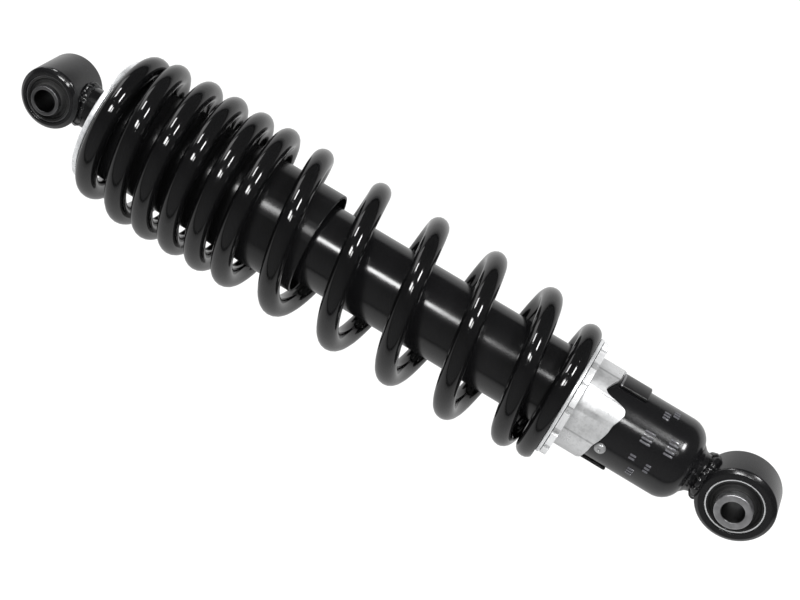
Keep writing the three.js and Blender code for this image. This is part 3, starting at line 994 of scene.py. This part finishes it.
class STRUT_OT_eyes(bpy.types.Operator):
    """Builds both eyes with their bushes, necks and welds"""

    bl_idname = "strut.eyes"
    bl_label = "Eyes and Bushes"

    def execute(self, context):
        colours = context.scene.strut_colours
        bore = context.scene.strut_sizes.bore_radius
        enamel = gloss_enamel("eye_enamel", colours.enamel)
        weld_enamel = gloss_enamel("weld_enamel", colours.enamel)
        rubber = moulded_rubber("bush_rubber")
        lower, upper = EYES
        zinc = bright_zinc("lower_ring_zinc", colours.zinc, (500, 500, 500))
        steel = turned_metal("lower_sleeve_steel", colours.steel, 1, (0, 0, lower.height), bore)
        eye_pieces(lower, enamel, zinc, "bright_zinc", steel, "bare_steel", rubber, bore)
        dark = scaled(colours.steel, 0.32)
        upper_axis = (0, 0, upper.height)
        ring = turned_metal("upper_ring_steel", dark, 1, upper_axis)
        sleeve = turned_metal("upper_sleeve_steel", dark, 1, upper_axis, bore)
        eye_pieces(upper, enamel, ring, "dark_steel", sleeve, "dark_steel", rubber, bore)

        into_body = BODY_LOW + 0.9 * MM
        lower_profile = [
            (0, 14 * MM), (LOWER_NECK_R, 13.4 * MM), (LOWER_NECK_R, 20 * MM),
            (LOWER_NECK_R + 0.5 * MM, 21.8 * MM, 0.8 * MM),
            (LOWER_NECK_R + 3.1 * MM, into_body, 0.8 * MM), (0, into_body),
        ]
        neck_and_weld(lower, lower_profile, enamel, 9.4 * MM, 1.9 * MM, 4, weld_enamel)

        plate_top = span("upper_spring_plate", 2)[1]
        foot = plate_top + 0.05 * MM
        into_eye = plate_top + 15 * MM
        upper_profile = [
            (0, foot), (UPPER_NECK_R + 1.2 * MM, foot, 0.3 * MM),
            (UPPER_NECK_R + 0.8 * MM, plate_top + 1.4 * MM, 0.6 * MM),
            (UPPER_NECK_R, plate_top + 2.4 * MM, 0.6 * MM), (UPPER_NECK_R, into_eye), (0, into_eye),
        ]
        neck_and_weld(upper, upper_profile, enamel, 9.3 * MM, 1.8 * MM, 9, weld_enamel)
        return {"FINISHED"}


# ------------------------------------------------------------------ upper plate and dust tube


class STRUT_OT_upper(bpy.types.Operator):
    """Makes the upper spring plate and the dust tube"""

    bl_idname = "strut.upper"
    bl_label = "Plate and Dust Tube"

    def execute(self, context):
        colours = context.scene.strut_colours
        rod_hole = radius_of("piston_rod") + FIT
        low, high = span("upper_spring_plate", 2)
        rim = radius_of("upper_spring_plate") - 0.4 * MM
        recess_floor = high - 0.5 * MM  # a shallow recess round the neck
        profile = [
            (rod_hole, low), (rim, low, 0.7 * MM), (rim, high, 0.9 * MM), (16 * MM, high, 0.5 * MM),
            (14.6 * MM, recess_floor, 0.4 * MM), (rod_hole, recess_floor),
        ]
        plate_zinc = bright_zinc("plate_zinc", colours.zinc, (120, 120, 4000))
        plate = turned("spring_plate", profile, plate_zinc)
        fit(plate, "rod_assembly", "bright_zinc", "upper_spring_plate")

        mouth, top = span("dust_tube", 2)
        outer = radius_of("dust_tube")
        inner = outer - 1.2 * MM
        ceiling = top - 1.5 * MM
        profile = [
            (inner, mouth, 0.4 * MM), (outer, mouth, 0.4 * MM), (outer, top - 4 * MM),
            (outer - 0.3 * MM, top, 1 * MM), (rod_hole, top),
            (rod_hole, ceiling), (inner, ceiling, 0.8 * MM),
        ]
        plastic = moulded_plastic("dust_tube_plastic", colours.plastic)
        dust_tube = turned("dust_tube_shell", profile, plastic, steps=160)
        fit(dust_tube, "rod_assembly", "black_plastic", "dust_tube")
        return {"FINISHED"}


# ------------------------------------------------------------------ pieces inside


class STRUT_OT_inside(bpy.types.Operator):
    """Gives the pieces inside the damper their finishes"""

    bl_idname = "strut.inside"
    bl_label = "Inner Pieces"

    def execute(self, context):
        steel = context.scene.strut_colours.steel
        finishes = {
            polished_chrome("rod_chrome"): ["piston_rod"],
            turned_metal("inner_aluminium", (0.6, 0.61, 0.62), 2, (0, 0, 0)): [
                "rod_guide", "piston", "floating_piston",
            ],
            turned_metal("inner_steel", steel, 2, (0, 0, 0)): [
                "seal_cap", "rebound_shims", "compression_shims",
                "piston_nut", "rebound_stop", "bump_washer",
            ],
            moulded_rubber("inner_rubber"): ["rod_wiper", "rebound_cushion", "bump_stop"],
            moulded_rubber("seal_compound", (0.05, 0.028, 0.018)): [
                "rod_seal", "piston_band", "floating_seal",
            ],
        }
        for material, nodes in finishes.items():
            for node in nodes:
                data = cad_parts[node].data
                data.materials.clear()
                data.materials.append(material)
        return {"FINISHED"}


# ------------------------------------------------------------------ studio


STRUT_MIDDLE = Vector((0, 0, (CAD_BOX[0].z + CAD_BOX[1].z) / 2))
FLOOR_DROP = 0.16
FLOOR_SIZE = 4
LIGHT_DISTANCE = 1.2


class StudioView:
    """The camera's stand: it looks at the strut from a little below its middle, rolled over."""

    azimuth = math.radians(-30.43)
    elevation = math.radians(-5.35)
    roll = math.radians(59.05)
    distance = 0.7745
    aim = Vector((-0.00326, 0.00031, 0.17482))
    lens = 76.5  # mm, on a 36 mm wide frame

    @classmethod
    def axes(cls):
        """Right, up and forward of the camera."""
        east, north = math.sin(cls.azimuth), math.cos(cls.azimuth)
        flat = math.cos(cls.elevation)
        forward = Vector((east * flat, north * flat, -math.sin(cls.elevation)))
        level_right = Vector((north, -east, 0))
        level_up = level_right.cross(forward)
        right = level_right * math.cos(cls.roll) - level_up * math.sin(cls.roll)
        up = level_up * math.cos(cls.roll) + level_right * math.sin(cls.roll)
        return right, up, forward


def soft_light(name, azimuth, elevation, size, radiance):
    """A rectangular light at an angle round and above the strut's middle, turned to face it."""
    light = bpy.data.lights.new(name, "AREA")
    light.shape = "RECTANGLE"
    light.size, light.size_y = size
    light.energy = radiance * math.pi * size[0] * size[1]
    lamp = bpy.data.objects.new(name, light)
    turn = Matrix.Rotation(math.radians(azimuth), 3, "Z")
    tilt = Matrix.Rotation(math.radians(-elevation), 3, "Y")
    outward = turn @ tilt @ Vector((1, 0, 0))
    lamp.location = STRUT_MIDDLE + outward * LIGHT_DISTANCE
    lamp.rotation_euler = outward.to_track_quat("Z", "Y").to_euler()
    lamp.visible_camera = False
    bpy.context.collection.objects.link(lamp)


def studio_world(scene):
    """White backdrop. The gloss mirrors a pale sheet behind the strut and a dim room in front."""
    world = bpy.data.worlds.new("studio")
    world.use_nodes = True
    tree = world.node_tree
    tree.nodes.clear()
    new, link = tree.nodes.new, tree.links.new
    direction = new("ShaderNodeTexCoord").outputs["Generated"]
    _, _, forward = StudioView.axes()
    side = Vector((math.cos(StudioView.azimuth), -math.sin(StudioView.azimuth), 0))

    def along(axis, stops):
        """Brightness by direction, at stops from -1 (against the axis) to 1 (along it)."""
        dot = new("ShaderNodeVectorMath")
        dot.operation = "DOT_PRODUCT"
        dot.inputs[1].default_value = axis
        link(direction, dot.inputs[0])
        ramp = new("ShaderNodeMapRange")
        ramp.inputs["From Min"].default_value = -1
        link(dot.outputs["Value"], ramp.inputs["Value"])
        curve = new("ShaderNodeFloatCurve")
        points = curve.mapping.curves[0].points
        for point, stop in zip((points[0], points[-1]), (stops[0], stops[-1])):
            point.location = ((stop[0] + 1) / 2, stop[1])
        for place, value in stops[1:-1]:
            points.new((place + 1) / 2, value)
        for point in points:
            point.handle_type = "VECTOR"
        curve.mapping.update()
        link(ramp.outputs["Result"], curve.inputs["Value"])
        return curve.outputs["Value"]

    tilt = math.radians(15)
    sheet_axis = forward * math.cos(tilt) - side * math.sin(tilt)
    sheet = along(sheet_axis, [(-1, 0), (-0.02, 0), (0.03, 0.3), (0.2, 0.75), (0.6, 0.85), (1, 0.7)])
    lean = along(side, [(-1, 0.62), (-0.4, 0.58), (0, 0.7), (0.4, 0.9), (1, 0.95)])
    room = along(side, [(-1, 0.32), (-0.4, 0.17), (-0.1, 0.08), (0.15, 0.08), (0.5, 0.13), (1, 0.08)])
    edge = along(sheet_axis, [(-1, 1), (-0.1, 1), (-0.06, 0.2), (-0.01, 0.2), (0.03, 1), (1, 1)])
    both, total = new("ShaderNodeMath"), new("ShaderNodeMath")
    both.operation = "MULTIPLY_ADD"
    total.operation = "MULTIPLY"
    link(sheet, both.inputs[0])
    link(lean, both.inputs[1])
    link(room, both.inputs[2])
    link(both.outputs["Value"], total.inputs[0])
    link(edge, total.inputs[1])

    path = new("ShaderNodeLightPath").outputs
    surroundings, mirrored, backdrop = (new("ShaderNodeBackground") for _ in range(3))
    for light in (surroundings, mirrored, backdrop):
        light.inputs["Color"].default_value = (1, 1, 1, 1)
    surroundings.inputs["Strength"].default_value = 1.25  # falls on whatever is matt
    link(total.outputs["Value"], mirrored.inputs["Strength"])
    backdrop.inputs["Strength"].default_value = 1.1
    by_gloss, by_camera = new("ShaderNodeMixShader"), new("ShaderNodeMixShader")
    link(path["Is Glossy Ray"], by_gloss.inputs["Fac"])
    link(surroundings.outputs["Background"], by_gloss.inputs[1])
    link(mirrored.outputs["Background"], by_gloss.inputs[2])
    link(path["Is Camera Ray"], by_camera.inputs["Fac"])
    link(by_gloss.outputs["Shader"], by_camera.inputs[1])
    link(backdrop.outputs["Background"], by_camera.inputs[2])
    link(by_camera.outputs["Shader"], new("ShaderNodeOutputWorld").inputs["Surface"])
    scene.world = world


class STRUT_OT_studio(bpy.types.Operator):
    """Sets up the floor, soft lights, backdrop and camera"""

    bl_idname = "strut.studio"
    bl_label = "Studio"

    def execute(self, context):
        scene = context.scene
        scene.view_settings.view_transform = "Standard"
        studio_world(scene)

        bm = bmesh.new()
        bmesh.ops.create_grid(bm, x_segments=4, y_segments=4, size=FLOOR_SIZE)
        bmesh.ops.translate(bm, vec=(0, 0, CAD_BOX[0].z - FLOOR_DROP), verts=bm.verts[:])
        floor = as_piece("floor", bm, plain_floor("floor_paper", scene.strut_colours.floor))
        floor.visible_glossy = False
        floor.visible_shadow = False

        soft_light("window_upper_left", -18, 37, (0.26, 0.2), 24)
        soft_light("window_upper_right", -46, 12, (0.19, 0.34), 30)
        soft_light("window_lower_left", -22, -22, (0.3, 0.2), 34)
        soft_light("window_lower_right", -46, -9, (0.15, 0.16), 24)
        soft_light("end_softbox", 8, 58, (0.6, 0.4), 2)

        right, up, forward = StudioView.axes()
        camera = bpy.data.cameras.new("camera")
        camera.lens = StudioView.lens
        stand = bpy.data.objects.new("camera", camera)
        turn = Matrix((right, up, -forward)).transposed().to_4x4()
        place = StudioView.aim - forward * StudioView.distance
        stand.matrix_world = Matrix.Translation(place) @ turn
        context.collection.objects.link(stand)
        scene.camera = stand
        return {"FINISHED"}


# ------------------------------------------------------------------ panel and registration


class STRUT_PT_panel(bpy.types.Panel):
    bl_label = "Shock Absorber"
    bl_idname = "STRUT_PT_panel"
    bl_space_type = "VIEW_3D"
    bl_region_type = "UI"
    bl_category = "Strut"

    def draw(self, context):
        layout = self.layout
        for settings in (context.scene.strut_sizes, context.scene.strut_colours):
            box = layout.box()
            for key in settings.__annotations__:
                box.prop(settings, key)
        for operator in OPERATORS:
            layout.operator(operator.bl_idname)


OPERATORS = (
    STRUT_OT_studio,
    STRUT_OT_spring,
    STRUT_OT_body,
    STRUT_OT_collar,
    STRUT_OT_eyes,
    STRUT_OT_upper,
    STRUT_OT_inside,
)
CLASSES = (StrutSizes, StrutColours, *OPERATORS, STRUT_PT_panel)


def register():
    for cls in CLASSES:
        bpy.utils.register_class(cls)
    bpy.types.Scene.strut_sizes = PointerProperty(type=StrutSizes)
    bpy.types.Scene.strut_colours = PointerProperty(type=StrutColours)


def unregister():
    del bpy.types.Scene.strut_colours
    del bpy.types.Scene.strut_sizes
    for cls in reversed(CLASSES):
        bpy.utils.unregister_class(cls)


def main():
    register()
    bpy.ops.strut.studio()
    bpy.ops.strut.spring()
    bpy.ops.strut.body()
    bpy.ops.strut.collar()
    bpy.ops.strut.eyes()
    bpy.ops.strut.upper()
    bpy.ops.strut.inside()


if __name__ == "__main__":
    main()
